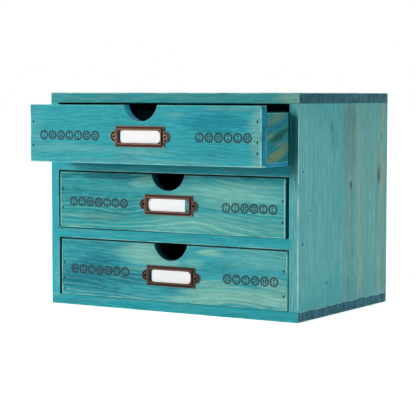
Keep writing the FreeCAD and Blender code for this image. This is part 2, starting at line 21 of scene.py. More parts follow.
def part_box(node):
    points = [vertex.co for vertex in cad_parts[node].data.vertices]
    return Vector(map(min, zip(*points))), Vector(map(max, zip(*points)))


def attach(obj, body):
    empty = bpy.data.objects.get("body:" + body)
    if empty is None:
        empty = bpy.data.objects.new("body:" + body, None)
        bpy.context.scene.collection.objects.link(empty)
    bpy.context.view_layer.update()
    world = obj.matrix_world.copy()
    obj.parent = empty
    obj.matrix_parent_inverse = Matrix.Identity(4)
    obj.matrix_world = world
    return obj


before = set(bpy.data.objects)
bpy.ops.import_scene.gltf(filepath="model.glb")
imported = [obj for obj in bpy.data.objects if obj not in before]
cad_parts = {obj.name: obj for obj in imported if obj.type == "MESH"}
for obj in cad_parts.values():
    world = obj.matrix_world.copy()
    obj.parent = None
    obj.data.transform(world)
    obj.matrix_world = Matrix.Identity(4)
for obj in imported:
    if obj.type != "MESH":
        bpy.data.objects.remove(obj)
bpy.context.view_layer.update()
MM = 0.001

# %% [markdown]
# ## The camera
#
# The cabinet is seen from a little to its right, with the eye level with its top. A long lens from
# a metre and a half away keeps the boards' edges nearly parallel. The lens is set from the focal
# length in pixels: dividing by the picture's width and multiplying by the sensor's gives
# millimetres.

# %% Set the camera
PICTURE_WIDTH = 416
FOCAL_PIXELS = 1620.6
SENSOR_WIDTH = 36.0
EYE = Vector((0.7589, -1.2540, 0.1885))
#  A point near the cabinet's middle, where the lights look too.
AIM = Vector((0, -0.02, 0.09))
TURN, DIP, TILT = (math.radians(angle) for angle in (31.603, 4.009, 0.081))


def look_directions(turn, dip, tilt):
    """Right, up and backward of a camera that is turned left, dipped and then tilted."""
    level = Vector((-math.sin(turn), math.cos(turn), 0))
    ahead = level * math.cos(dip) - Vector((0, 0, math.sin(dip)))
    right = Vector((math.cos(turn), math.sin(turn), 0))
    up = right.cross(ahead)
    tilted_right = right * math.cos(tilt) + up * math.sin(tilt)
    tilted_up = up * math.cos(tilt) - right * math.sin(tilt)
    return tilted_right, tilted_up, -ahead


scene = bpy.context.scene
camera_data = bpy.data.cameras.new("studio_camera")
camera_data.sensor_width = SENSOR_WIDTH
camera_data.lens = FOCAL_PIXELS / PICTURE_WIDTH * SENSOR_WIDTH
camera = bpy.data.objects.new("studio_camera", camera_data)
scene.collection.objects.link(camera)
aim = Matrix(look_directions(TURN, DIP, TILT)).transposed().to_4x4()
camera.matrix_world = Matrix.Translation(EYE) @ aim
scene.camera = camera
print(f"lens {camera_data.lens:.1f} mm, {(EYE - AIM).length:.2f} m from the cabinet")

# %% [markdown]
# ## Short words for shader nodes
#
# Blender's materials are graphs of nodes. Written out in full, each node takes four or five lines,
# and the idea gets lost. This small class adds a node, sets its inputs from numbers or from other
# nodes' outputs, and hands back its output, so a formula reads like a formula.

# %% Graph helper


def tint(red, green, blue):
    """A screen colour from 0 to 255 as the linear colour that a shader takes."""
    screen = np.array((red, green, blue)) / 255
    linear = np.where(screen < 0.04045, screen / 12.92, ((screen + 0.055) / 1.055) ** 2.4)
    return (*linear, 1)


class Graph:
    """A node tree, with one short method for each kind of node that the finishes need."""

    def __init__(self, tree):
        self.tree = tree

    def feed(self, node, **inputs):
        """Set or link inputs, named with _ for a space, or i0, i1 and so on for their places."""
        for name, value in inputs.items():
            by_place = name[0] == "i" and name[1:].isdigit()
            socket = node.inputs[int(name[1:]) if by_place else name.replace("_", " ")]
            if isinstance(value, bpy.types.NodeSocket):
                self.tree.links.new(value, socket)
            else:
                socket.default_value = value
        return node

    def add(self, kind, settings=None, **inputs):
        """A new node, with its settings and its inputs."""
        made = self.tree.nodes.new(f"ShaderNode{kind}")
        for name, value in (settings or {}).items():
            setattr(made, name, value)
        return self.feed(made, **inputs)

    def maths(self, operation, first, second=0.0, third=0.0):
        made = self.add("Math", {"operation": operation}, i0=first, i1=second, i2=third)
        return made.outputs[0]

    def fold(self, operation, first, others):
        """The operation with each of the others in turn."""
        for other in others:
            first = self.maths(operation, first, other)
        return first

    def plus(self, first, *others):
        return self.fold("ADD", first, others)

    def less(self, first, *others):
        return self.fold("SUBTRACT", first, others)

    def times(self, first, *others):
        return self.fold("MULTIPLY", first, others)

    def least(self, first, *others):
        return self.fold("MINIMUM", first, others)

    def most(self, first, *others):
        return self.fold("MAXIMUM", first, others)

    def size(self, value):
        return self.maths("ABSOLUTE", value)

    def bell(self, value, middle, reach):
        """e to the minus ((value - middle) / reach) squared."""
        away = self.maths("DIVIDE", self.less(value, middle), reach)
        return self.maths("EXPONENT", self.times(away, away, -1.0))

    def step(self, value, low, high, to_low=0.0, to_high=1.0):
        """A smooth step from to_low, where value is low, to to_high, where it is high."""
        made = self.add("MapRange", {"interpolation_type": "SMOOTHSTEP"}, Value=value,
                        From_Min=low, From_Max=high, To_Min=to_low, To_Max=to_high)
        return made.outputs["Result"]

    def fall(self, value, low, high):
        """A smooth fall from 1, where value is low, to 0, where it is high."""
        return self.step(value, low, high, 1.0, 0.0)

    def swing(self, noise, amount, reach=0.25):
        """A noise about a half, made to swing by the amount to either side of nothing."""
        return self.step(noise, 0.5 - reach, 0.5 + reach, -amount, amount)

    def vector(self, operation, first, second=(0, 0, 0)):
        made = self.add("VectorMath", {"operation": operation}, i0=first, i1=second)
        return made.outputs["Value" if operation in ("LENGTH", "DOT_PRODUCT") else "Vector"]

    def length(self, vector):
        return self.vector("LENGTH", vector)

    def millimetres(self, origin=(0, 0, 0)):
        """The point on the object, in millimetres from an origin."""
        point = self.vector("SCALE", self.add("TexCoord").outputs["Object"])
        point.node.inputs["Scale"].default_value = 1 / MM
        return self.vector("SUBTRACT", point, tuple(origin))

    def turn(self, vector, angle):
        """The vector turned about the third axis."""
        made = self.add("VectorRotate", {"rotation_type": "Z_AXIS"}, Vector=vector, Angle=angle)
        return made.outputs[0]

    def split(self, vector):
        return self.add("SeparateXYZ", Vector=vector).outputs

    def join(self, x, y, z):
        return self.add("CombineXYZ", X=x, Y=y, Z=z).outputs[0]

    def blend(self, amount, first, second, kind="MIX"):
        made = self.add("Mix", {"data_type": "RGBA", "blend_type": kind},
                        i0=amount, i6=first, i7=second)
        return made.outputs[2]

    def dim(self, colour, share):
        return self.blend(1.0, colour, self.join(share, share, share), "MULTIPLY")

    def noise(self, place, seed, stretch=(1, 1, 1), scale=1.0, detail=2.0, roughness=0.5):
        """Noise from 0 to 1 about a middle of a half, drawn out along the three axes."""
        squeezed = self.vector("DIVIDE", place, stretch)
        made = self.add("TexNoise", {"noise_dimensions": "4D"}, Vector=squeezed, W=seed,
                        Scale=scale, Detail=detail, Roughness=roughness)
        return made.outputs["Fac"]


def new_material(name):
    """A material, the graph to build it with, and its shader."""
    material = bpy.data.materials.new(name)
    material.use_nodes = True
    return material, Graph(material.node_tree), material.node_tree.nodes["Principled BSDF"]


print("a mid turquoise in linear light:", [round(float(part), 3) for part in tint(42, 171, 184)])

# %% [markdown]
# ## The floor
#
# The cabinet stands on pale paper. Under a camera's flash, such paper burns out to white. The floor
# gets the same look from a glow that only the camera sees, so it adds no light to the cabinet, and
# it grows with the distance.

# %% Lay the floor
FLOOR_HALF_WIDTH = 12.0
NEAR_GLOW, FAR_GLOW = 0.75, 1.0
GLOW_STARTS, GLOW_IS_FULL = 0.3, 1.2


def make_floor():
    """A square of paper whose glow grows from near to far."""
    half = FLOOR_HALF_WIDTH
    corners = [(-half, -half, 0), (half, -half, 0), (half, half, 0), (-half, half, 0)]
    mesh = bpy.data.meshes.new("floor")
    mesh.from_pydata(corners, [], [(0, 1, 2, 3)])
    floor = bpy.data.objects.new("floor", mesh)
    scene.collection.objects.link(floor)
    material, graph, shader = new_material("pale_floor")
    away = graph.length(graph.add("TexCoord").outputs["Object"])
    glow = graph.add("MapRange", Value=away, From_Min=GLOW_STARTS, From_Max=GLOW_IS_FULL,
                     To_Min=NEAR_GLOW, To_Max=FAR_GLOW).outputs["Result"]
    seen = graph.times(glow, graph.add("LightPath").outputs["Is Camera Ray"])
    graph.feed(shader, Base_Color=(0.95, 0.95, 0.95, 1), Roughness=0.8, Specular_IOR_Level=0.0,
               Emission_Color=(1, 1, 1, 1), Emission_Strength=seen)
    mesh.materials.append(material)
    return floor


floor = make_floor()
print(floor.name, f"{2 * FLOOR_HALF_WIDTH:.0f} m wide")

# %% [markdown]
# ## The light
#
# The light is soft. One softbox in front and to the left, not much higher than the cabinet, is the
# main light, so the open drawer shades what is just beside and below it. A second one stands level
# with the case on its right, and reaches that side but hardly the fronts. A small one above and
# behind has a narrow beam, for the top board alone. The sky is white and weak, which lets the gaps
# between the drawers go dark.

# %% Light the studio
SKY_STRENGTH = 0.1
scene.view_settings.view_transform = "Standard"


def make_softbox(name, place, width, watts, spread=180):
    """A square light that looks at the cabinet, with its beam's spread in degrees."""
    light = bpy.data.lights.new(name, "AREA")
    light.shape = "SQUARE"
    light.size = width
    light.energy = watts
    light.spread = math.radians(spread)
    softbox = bpy.data.objects.new(name, light)
    scene.collection.objects.link(softbox)
    softbox.location = place
    softbox.rotation_mode = "QUATERNION"
    softbox.rotation_quaternion = (AIM - Vector(place)).to_track_quat("-Z", "Y")
    return softbox


def make_sky():
    """A white sky that looks full white to the camera and lights the cabinet less."""
    world = bpy.data.worlds.new("white_sky")
    world.use_nodes = True
    graph = Graph(world.node_tree)
    seen = graph.add("LightPath").outputs["Is Camera Ray"]
    level = graph.add("MapRange", Value=seen, To_Min=SKY_STRENGTH, To_Max=1.0).outputs["Result"]
    graph.feed(world.node_tree.nodes["Background"], Color=(1, 1, 1, 1), Strength=level)
    scene.world = world


make_softbox("main_softbox", (-1.5, -1.9, 0.62), width=0.7, watts=45)
make_softbox("side_softbox", (2.25, -0.1, 0.75), width=0.5, watts=21)
make_softbox("top_softbox", (-0.1, 0.6, 1.45), width=0.3, watts=0.3, spread=18)
make_sky()
print([light.name for light in bpy.data.lights])

# %% [markdown]
# ## Effects that the boards share
#
# Every board has a figure, worn corners and stain. Each of these effects is a node group with named
# sockets, built once and placed in each board's material with that board's own values. These
# helpers open a group, close it and place it.

# %% Group helpers


def new_group(name, inputs, outputs):
    """An empty node group with named sockets, and its graph and input sockets to start from."""
    tree = bpy.data.node_groups.new(name, "ShaderNodeTree")
    for way, sockets in (("INPUT", inputs), ("OUTPUT", outputs)):
        for socket, kind in sockets.items():
            tree.interface.new_socket(socket, in_out=way, socket_type=f"NodeSocket{kind}")
    graph = Graph(tree)
    return graph, graph.tree.nodes.new("NodeGroupInput").outputs


def close_group(graph, **results):
    """Connect the results to the group's output sockets, named with _ for a space."""
    graph.feed(graph.tree.nodes.new("NodeGroupOutput"), **results)
    return graph.tree


def use_group(graph, tree, **inputs):
    return graph.add("Group", {"node_tree": tree}, **inputs).outputs


print("node groups so far:", len(bpy.data.node_groups))

# %% [markdown]
# ## The figure of a board
#
# A tree grows a ring each year: pale early wood, then a thin dark line of late wood. A board is a
# slice out of those rings. So the figure is worked out as a solid pattern and not as a picture
# pasted on: the distance from the tree's pith, divided by the width of a ring. The same pattern
# then gives straight lines on a face that was cut through the middle, arches on one cut to the
# side, and curved ring ends on the end grain, and it meets itself round every corner.
#
# Fibres and streaks are noise stretched along the grain.

# %% Wood figure group
#  How far the rings stray from circles, in millimetres, over a long and over a short way.
SLOW_STRAY, QUICK_STRAY = 34.0, 4.5
#  Where in a ring its late wood starts and where it is darkest, as a share of its width.
LATE_WOOD_STARTS, LATE_WOOD_PEAK = 0.5, 0.86


def make_figure_group():
    """Late wood lines, fine fibres, broader streaks, slow clouds and small mottle inside a board.

    The place is in millimetres from the board's middle: along the grain, across it, and through.
    """
    graph, given = new_group(
        "wood_figure",
        {"Place": "Vector", "Seed": "Float", "Pith": "Vector", "Ring width": "Float"},
        {name: "Float" for name in ("Late wood", "Fibre", "Streak", "Cloud", "Mottle")},
    )
    place, seed = given["Place"], given["Seed"]

    def stretched(length, width, detail=2.0, roughness=0.5):
        return graph.noise(place, seed, (length, width, width), 1.0, detail, roughness)

    offset = graph.vector("SUBTRACT", place, given["Pith"])
    from_pith = graph.length(graph.vector("MULTIPLY", offset, (0, 1, 1)))
    distance = graph.plus(from_pith, graph.times(stretched(170, 60), SLOW_STRAY),
                          graph.times(stretched(50, 14), QUICK_STRAY))
    rings = graph.maths("DIVIDE", distance, given["Ring width"])
    phase = graph.maths("FRACT", rings)
    rise = graph.step(phase, LATE_WOOD_STARTS, LATE_WOOD_PEAK)
    fall = graph.fall(phase, LATE_WOOD_PEAK, 1.0)
    year = graph.add("TexWhiteNoise", {"noise_dimensions": "1D"}, W=graph.maths("FLOOR", rings))
    strength = graph.step(year.outputs["Value"], 0.0, 1.0, 0.25, 1.0)
    return close_group(
        graph,
        Late_wood=graph.times(rise, fall, strength),
        Fibre=stretched(16, 0.9, 6.0, 0.8),
        Streak=stretched(75, 2.6, 3.0, 0.55),
        Cloud=stretched(44, 14, 3.0, 0.55),
        Mottle=stretched(9, 6, 4.0, 0.65),
    )


figure_group = make_figure_group()
print(figure_group.name, len(figure_group.nodes), "nodes")

# %% [markdown]
# ## Worn corners
#
# Handling rubs the stain off the sharp corners first, and leaves a thin pale line. A board is a
# box, so the nearest corner is easy to find: take the distances to its three pairs of faces. On a
# face the least of them is nothing, and the middle one is the way to the nearest edge.

# %% Worn corner group


def make_corner_group():
    """Full where a corner of the board is nearer than the width, which wanders with noise."""
    graph, given = new_group(
        "worn_corner",
        {"Place": "Vector", "Half size": "Vector", "Seed": "Float", "Width": "Float"},
        {"Worn": "Float"},
    )
    inside = graph.vector("SUBTRACT", given["Half size"], graph.vector("ABSOLUTE", given["Place"]))
    x, y, z = graph.split(inside)
    middle = graph.less(graph.plus(x, y, z), graph.least(x, y, z), graph.most(x, y, z))
    wander = graph.noise(given["Place"], given["Seed"], (14, 9, 9), detail=4.0)
    width = graph.times(given["Width"], graph.step(wander, 0.3, 0.7, 0.45, 1.6))
    nearness = graph.maths("DIVIDE", middle, width)
    return close_group(graph, Worn=graph.fall(nearness, 0.35, 1.0))


corner_group = make_corner_group()
print(corner_group.name, len(corner_group.nodes), "nodes")

# %% [markdown]
# ## The stain
#
# Stain is thin, so it doesn't hide the wood: it soaks deep where the wood is open, and hardly takes
# where there is resin, where the board stays sandy. Late wood is dense and shows as a line. The end
# of a board drinks the most and comes out dark blue. This group lays those effects on each other in
# the order in which they happen, and puts out one colour.

# %% Stain group
COLOURS = ("Stain", "Deep stain", "Sandy", "End grain", "Bare", "Knot")
MASKS = ("Late wood", "Fibre", "Streak", "Mottle", "Bars", "Deep", "Thin", "Dark", "End", "Worn",
         "Contrast", "Stripes", "Blotches")


def make_stain_group():
    """The stained board's colour, and a height for the relief of its fibres and its late wood."""
    sockets = {name: "Color" for name in COLOURS} | {name: "Float" for name in MASKS}
    graph, given = new_group("turquoise_stain", sockets, {"Color": "Color", "Height": "Float"})
    blotch = graph.times(graph.swing(given["Mottle"], 1.0), given["Blotches"])
    stripe = graph.times(graph.swing(given["Streak"], 1.0), given["Stripes"])
    soaked = graph.step(graph.maths("MULTIPLY_ADD", blotch, 2.0, given["Deep"]), 0.0, 1.0)
    colour = graph.blend(soaked, given["Stain"], given["Deep stain"])
    lines = graph.times(given["Late wood"], given["Contrast"])
    lines = graph.plus(lines, graph.step(given["Fibre"], 0.5, 0.8, 0.0, 0.3))
    colour = graph.blend(graph.plus(given["Thin"], lines), colour, given["Sandy"])
    colour = graph.blend(given["Dark"], colour, given["Knot"])
    bright = graph.less(graph.step(given["Fibre"], 0.25, 0.75, 0.68, 1.32), stripe, blotch)
    colour = graph.dim(colour, bright)
    bars = graph.plus(graph.step(given["Bars"], 0.3, 0.7, 1.3, 0.7),
                      graph.swing(given["Mottle"], 0.3, reach=0.3))
    colour = graph.blend(given["End"], colour, graph.dim(given["End grain"], bars))
    colour = graph.blend(given["Worn"], colour, given["Bare"])
    height = graph.plus(given["Fibre"], graph.times(given["Late wood"], 0.4))
    return close_group(graph, Color=colour, Height=height)


stain_group = make_stain_group()
print(stain_group.name, len(stain_group.nodes), "nodes")

# %% [markdown]
# ## Palettes
#
# No two boards come from the same place in the tree, and each took the stain in its own way: the
# right side stayed pale, the drawers' boxes went green and blue. A palette holds one kind of
# board's six colours, as they look on a screen.

# %% Palettes
#  In the order of COLOURS, from 0 to 255.
SCREEN_COLOURS = {
    "top_front": ((38, 162, 173), (0, 136, 154), (134, 186, 172),
                  (24, 132, 160), (160, 226, 218), (20, 60, 70)),
    "middle_front": ((42, 157, 163), (0, 116, 124), (140, 202, 182),
                     (10, 96, 104), (160, 222, 210), (20, 60, 70)),
    "bottom_front": ((50, 162, 172), (0, 122, 138), (140, 198, 180),
                     (12, 100, 112), (160, 222, 212), (20, 60, 70)),
    "case": ((54, 158, 162), (10, 138, 150), (112, 166, 152),
             (62, 108, 120), (160, 222, 214), (50, 84, 84)),
    # For the stile and the rail, the last colour, near black, is the painted shade in the gaps.
    "stile": ((42, 171, 184), (10, 148, 168), (100, 178, 174),
              (62, 108, 120), (160, 222, 214), (6, 34, 38)),
    "rail": ((38, 162, 172), (0, 142, 156), (100, 168, 164),
             (66, 118, 132), (160, 222, 214), (6, 34, 38)),
    "side": ((102, 184, 187), (62, 164, 174), (184, 176, 130),
             (62, 108, 120), (206, 240, 234), (74, 84, 80)),
    "box": ((40, 138, 140), (14, 122, 156), (128, 144, 100),
            (30, 122, 156), (120, 176, 190), (40, 86, 78)),
    "ply": ((8, 134, 174), (0, 110, 156), (70, 140, 150),
            (10, 122, 160), (90, 170, 196), (50, 84, 84)),
}
PALETTES = {board: {name: tint(*colour) for name, colour in zip(COLOURS, colours)}
            for board, colours in SCREEN_COLOURS.items()}
print(len(PALETTES), "palettes of", len(COLOURS), "colours")

# %% [markdown]
# ## One board, one material
#
# Each board gets a material of its own. What differs is small: which way the grain runs, where the
# pith was, the seed of the noise, and the palette. So a board is described in one line. A board
# that needs more has a finish function, which works on the masks before the stain is mixed.

# %% Board material
#  The object's axes that run along the grain, across it and through the board.
GRAIN_AXES = {"X": (0, 2, 1), "Y": (1, 2, 0), "Z": (2, 1, 0), "X_flat": (0, 1, 2),
              "Y_flat": (1, 0, 2)}
RELIEF = 0.08 * MM


def measure(node):
    """The middle of a piece's box and half its size, in millimetres."""
    low, high = (np.array(corner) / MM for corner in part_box(node))
    return (low + high) / 2, (high - low) / 2


def facing(graph, axis, low=0.75, high=0.9):
    """Full where the face looks along that axis of the object, either way."""
    along = tuple(float(each == axis) for each in range(3))
    across = graph.vector("DOT_PRODUCT", graph.add("TexCoord").outputs["Normal"], along)
    return graph.step(graph.size(across), low, high)


def make_board_material(node, palette, grain, seed, pith=(0, 12, -60), ring_width=4.2,
                        contrast=0.4, wear=0.8, slant=0.0, arch=None, stripes=0.1, blotches=0.05,
                        butted=True, finish=None):
    """Stained wood for one board. finish may change the masks and any colour of the palette.

    A butted board stands between others, so its ends aren't worn. An arch lifts the figure in a
    bell: across minus rise times e to the minus ((along - middle) / reach) squared.
    """
    material, graph, shader = new_material(f"{node}_wood")
    middle, half = measure(node)
    order = GRAIN_AXES[grain]
    from_middle = graph.split(graph.millimetres(middle))
    place = graph.join(*(from_middle[axis] for axis in order))
    half_size = tuple(half[list(order)])
    along = graph.split(place)[0]
    cut = graph.turn(place, slant)
    if arch:
        top, rise, reach = arch
        lift = graph.times(graph.bell(along, top, reach), rise)
        cut = graph.vector("SUBTRACT", cut, graph.join(0.0, lift, 0.0))
    figure = use_group(graph, figure_group, Place=cut, Seed=seed, Pith=pith, Ring_width=ring_width)
    worn = use_group(graph, corner_group, Place=place, Half_size=half_size, Seed=seed,
                     Width=wear)["Worn"]
    if butted:
        from_end = graph.less(half_size[0], graph.size(along))
        worn = graph.times(worn, graph.step(from_end, 1.0, 2.5))
    masks = {
        "Deep": graph.step(figure["Cloud"], 0.50, 0.75, 0.0, 0.6),
        "Thin": graph.step(figure["Cloud"], 0.28, 0.48, 0.35, 0.0),
        "Dark": 0.0,
        "Contrast": contrast,
        "Worn": graph.times(worn, 0.85),
        "End": facing(graph, order[0]),
    }
    if finish:
        finish(graph, place, half_size, figure, masks)
    given = PALETTES[palette] | masks | {
        "Stripes": stripes, "Blotches": blotches,
        "Bars": graph.noise(graph.millimetres(), seed, (30, 2.6, 14), detail=3.0),
    } | {name: figure[name] for name in ("Late wood", "Fibre", "Streak", "Mottle")}
    stained = use_group(graph, stain_group,
                        **{name.replace(" ", "_"): value for name, value in given.items()})
    relief = graph.add("Bump", Strength=0.35, Distance=RELIEF, Height=stained["Height"])
    graph.feed(shader, Base_Color=stained["Color"], Normal=relief.outputs["Normal"],
               Roughness=graph.step(figure["Fibre"], 0.2, 0.8, 0.5, 0.68),
               Specular_IOR_Level=0.12)
    return material


def dress(node, material):
    """Give a construction piece its finish."""
    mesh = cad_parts[node].data
    mesh.materials.clear()
    mesh.materials.append(material)


print("the top board is", [round(float(2 * half), 1) for half in measure("case_top")[1]], "mm")

# %% [markdown]
# ## Patches set one by one
#
# Broad patches of deep or thin stain can be left to noise. On the faces that are looked at most
# they are placed instead, because there the eye remembers where they are. A patch is a soft
# ellipse, with an edge frayed along the grain by the figure's own noises.

# %% Patches


def patches_mask(graph, place, patches, ragged):
    """Soft ellipses on a face, frayed by a noise about nothing, as the strongest of them."""
    ellipses = []
    for x, z, half_length, half_height, strength in patches:
        offset = graph.vector("SUBTRACT", place, (x, z, 0))
        away = graph.length(graph.vector("DIVIDE", offset, (half_length, half_height, 1)))
        ellipses.append(graph.step(graph.plus(away, ragged), 0.35, 1.35, strength, 0.0))
    return graph.most(*ellipses)


print("a patch: x, z, half length, half height, strength")

# %% [markdown]
# ## The drawer fronts
#
# Each front has its own clouds of stain, and its figure arches where the board was cut beside the
# pith. The finger notch was sawn across the grain, so inside it the wood is end grain, dark, with a
# rubbed edge. It needs no piece of its own: the material asks how far the notch's middle is.

# %% Front finish
#  In millimetres from the front's lower left corner.
THIN_PATCHES = {
    "top": [
        (45, 13, 60, 4, 0.25), (6, 30, 9, 30, 0.12), (229, 25, 7, 34, 0.45), (120, 10, 34, 5, 0.3),
        (205, 47, 30, 2, 0.3), (150, 42, 12, 2.5, 0.3), (120, 3, 60, 2, 0.3),
    ],
    "middle": [
        (184, 35, 62, 12, 0.6), (180, 42, 26, 3, 0.4), (92, 41, 12, 6, 0.4),
        (40, 11, 46, 2.2, 0.25), (150, 8, 84, 8, 0.4), (110, 4, 40, 2.5, 0.3),
        (160, 16, 44, 2.5, 0.3), (206, 31, 30, 2, 0.3), (62, 36, 36, 3, 0.12),
    ],
    "bottom": [
        (90, 40, 24, 11, 0.7), (100, 44, 20, 3, 0.4), (112, 33, 14, 5, 0.5),
        (154, 45, 14, 3.5, 0.8), (190, 8, 62, 8, 0.75), (164, 17, 32, 4, 0.55),
        (218, 18, 16, 10, 0.45), (130, 4, 36, 3, 0.5), (140, 36, 10, 6, 0.3),
        (206, 40, 34, 10, 0.25),
    ],
}
DEEP_STAIN_AND_SHADE_PATCHES = {
    "top": [
        (184, 36, 34, 11, 0.8), (196, 12, 30, 6, 0.4), (82, 36, 40, 9, 0.2), (188, 47, 26, 5, 0.7),
    ],
    "middle": [
        # The first two, along the middle front's top edge, are deeper stain with the open top
        # drawer's shadow painted into them.
        (60, 47.5, 80, 4, 0.95), (190, 48.5, 64, 2.2, 0.6), (44, 26, 66, 20, 0.42),
        (20, 30, 5, 16, 0.45), (52, 11, 50, 6, 0.65),
    ],
    "bottom": [
        (34, 20, 56, 18, 0.85), (36, 32, 18, 10, 0.6), (56, 17, 44, 7, 0.7),
        (30, 47, 46, 4, 0.6), (166, 31, 44, 4, 0.2), (120, 11, 22, 4, 0.4),
    ],
}
#  The middle of each front's finger notch, from the same corner.
NOTCHES = {"bottom": (116.7, 52.83), "middle": (115.3, 52.83), "top": (115.4, 52.83)}
NOTCH_RADIUS = 17.0
#  How clearly the late wood shows low on each front. It fades upwards to a quarter.
LINE_CONTRAST = {"bottom": 0.6, "middle": 0.75, "top": 0.25}
#  How far the dark of the end grain has crept round a front's right corner.
SOAKED_ENDS = {"middle": 1.0}


def finish_front(drawer):
    """The listed patches on a front, and the notch: dark end grain with a rubbed edge."""

    def finish(graph, place, half_size, figure, masks):
        x, z, depth = graph.split(graph.vector("ADD", place, half_size))
        face = graph.join(x, z, 0.0)
        ragged = graph.plus(graph.swing(figure["Cloud"], 0.35),
                            graph.swing(figure["Streak"], 0.3),
                            graph.swing(figure["Fibre"], 0.25, reach=0.3))
        contrast = LINE_CONTRAST[drawer]
        masks["Contrast"] = graph.step(z, 10, 32, contrast, contrast / 4)
        masks["Thin"] = patches_mask(graph, face, THIN_PATCHES[drawer], ragged)
        masks["Deep"] = patches_mask(graph, face, DEEP_STAIN_AND_SHADE_PATCHES[drawer], ragged)
        from_notch = graph.length(graph.vector("SUBTRACT", face, (*NOTCHES[drawer], 0)))
        near = graph.fall(from_notch, NOTCH_RADIUS + 0.2, NOTCH_RADIUS + 0.6)
        in_notch = graph.times(graph.less(1.0, facing(graph, 1)), near)
        masks["End"] = graph.most(masks["End"], in_notch)
        edge = graph.join(graph.less(from_notch, NOTCH_RADIUS), depth, 0.0)
        rubbed = graph.step(graph.length(edge), 0.3, 0.9, 0.3, 0.0)
        worn = graph.times(masks["Worn"], graph.step(z, 44, 49, 1.0, 0.3))
        masks["Worn"] = graph.most(worn, rubbed)
        if drawer in SOAKED_ENDS:
            from_soaked = graph.less(2 * half_size[0] - SOAKED_ENDS[drawer], x)
            soaked = graph.fall(from_soaked, -0.2, 0.2)
            masks["End"] = graph.most(masks["End"], soaked)
            line = graph.times(graph.step(from_soaked, 0.0, 0.3),
                               graph.step(from_soaked, 0.6, 1.6, 0.8, 0.0))
            worn = graph.times(masks["Worn"], graph.less(1.0, soaked))
            masks["Worn"] = graph.most(worn, line)

    return finish


print({drawer: len(patches) for drawer, patches in THIN_PATCHES.items()}, "thin patches")

# %% [markdown]
# ## The top board
#
# The top is handled at its right front corner, where it is paler. Its end grain is darker towards
# the front.

# %% Top finish
#  In millimetres from the board's left front corner.
TOP_PATCHES = {"Thin": [(249, 0, 16, 10, 0.9)], "Deep": [(60, 0, 120, 20, 0.3)]}
TOP_END_FRONT, TOP_END_BACK = tint(54, 100, 110), tint(70, 116, 128)


def finish_top(graph, place, half_size, figure, masks):
    """The pale corner, and the end grain. Its lower corners aren't worn and its end hardly is."""
    x, y, z = graph.split(graph.vector("ADD", place, half_size))
    ragged = graph.swing(figure["Streak"], 0.3)
    for name, patches in TOP_PATCHES.items():
        by_hand = patches_mask(graph, graph.join(x, y, 0.0), patches, ragged)
        masks[name] = graph.most(graph.times(masks[name], 0.7), by_hand)
    masks["End grain"] = graph.blend(graph.step(y, 20, 130), TOP_END_FRONT, TOP_END_BACK)
    on_end = graph.times(masks["End"], graph.step(y, 1.0, 2.0, 0.0, 0.8))
    masks["Worn"] = graph.times(masks["Worn"], graph.less(1.0, on_end), graph.step(z, 1.0, 2.0))


print({name: len(patches) for name, patches in TOP_PATCHES.items()}, "patches on the top")

# %% [markdown]
# ## The right side
#
# This board is seen whole. Four sandy streaks of resin run up it, and each bends round a knot as
# the fibres do: a straight line plus a bell, e to the minus (height / reach) squared. The knots and
# resin pockets are small dark patches. Its front edge took a deeper stain, and beside the open
# drawer the drawer's shadow is painted on it in a dark green.

# %% Right side finish
#  Streaks, in millimetres: distance from the front at the ends, how far the streak swings from
#  that, the height and reach of the swing, half width, strength, and lower and upper end.
RESIN_STREAKS = [
    (85, 7, 96, 60, 2.0, 0.30, 0, 190), (108, 8.2, 50, 42, 2.2, 0.50, 0, 190),
    (159.5, -8, 128, 24, 2.4, 0.48, 104, 190), (152.5, 8.0, 118, 26, 2.4, 0.52, 0, 142),
]
#  Knots and resin pockets: from the front, height, half width, half length and strength.
KNOTS = [
    (95.6, 109.9, 2.4, 5.0, 0.85), (97, 99, 0.9, 3.5, 0.4), (151.2, 117, 3.0, 10, 0.8),
    (58.4, 160, 1.3, 7, 0.6), (64.6, 135.5, 0.9, 6, 0.4), (146.3, 171.6, 1.0, 4, 0.35),
    (156, 152, 1.2, 5, 0.5), (152.5, 67, 0.9, 4, 0.35), (21, 92.2, 1.5, 0.8, 0.7),
    (51.2, 28.8, 2.0, 1.3, 0.9),
]
#  Broad shades: drier wood between two streaks, and deeper stain.
DRY_SHADES = [(93, 155, 15, 50, 0.3), (94, 60, 12, 90, 0.14)]
DEEP_SHADES = [
    (63, 155, 11, 22, 0.5), (72, 20, 6, 40, 0.5), (4, 110, 6, 60, 0.25), (52, 60, 8, 30, 0.3),
    (90, 185, 120, 34, 0.5), (80, 4, 120, 40, 0.5), (76, 110, 7, 60, 0.4),
]
#  Painted shadow of the open drawer on the front edge, from the opening: across, height, half
#  width, half height and strength.
OPEN_DRAWER_SHADOW = (2.0, 151, 9.0, 38, 1.0)
OPEN_DRAWER_SHADOW_COLOUR = tint(0, 126, 128)
STREAK_END = 14


def resin_streaks(graph, up, back):
    """The strongest of the streaks, where each fades over a short way at its two ends."""
    streaks = []
    for base, swing, middle, reach, half_width, strength, lowest, highest in RESIN_STREAKS:
        centre = graph.maths("MULTIPLY_ADD", graph.bell(up, middle, reach), swing, base)
        offset = graph.size(graph.less(back, centre))
        line = graph.step(offset, 0.1 * half_width, 2.0 * half_width, strength, 0.0)
        start = graph.step(up, lowest - STREAK_END, lowest + STREAK_END)
        end = graph.fall(up, highest - STREAK_END, highest + STREAK_END)
        streaks.append(graph.times(line, start, end))
    return graph.most(*streaks)


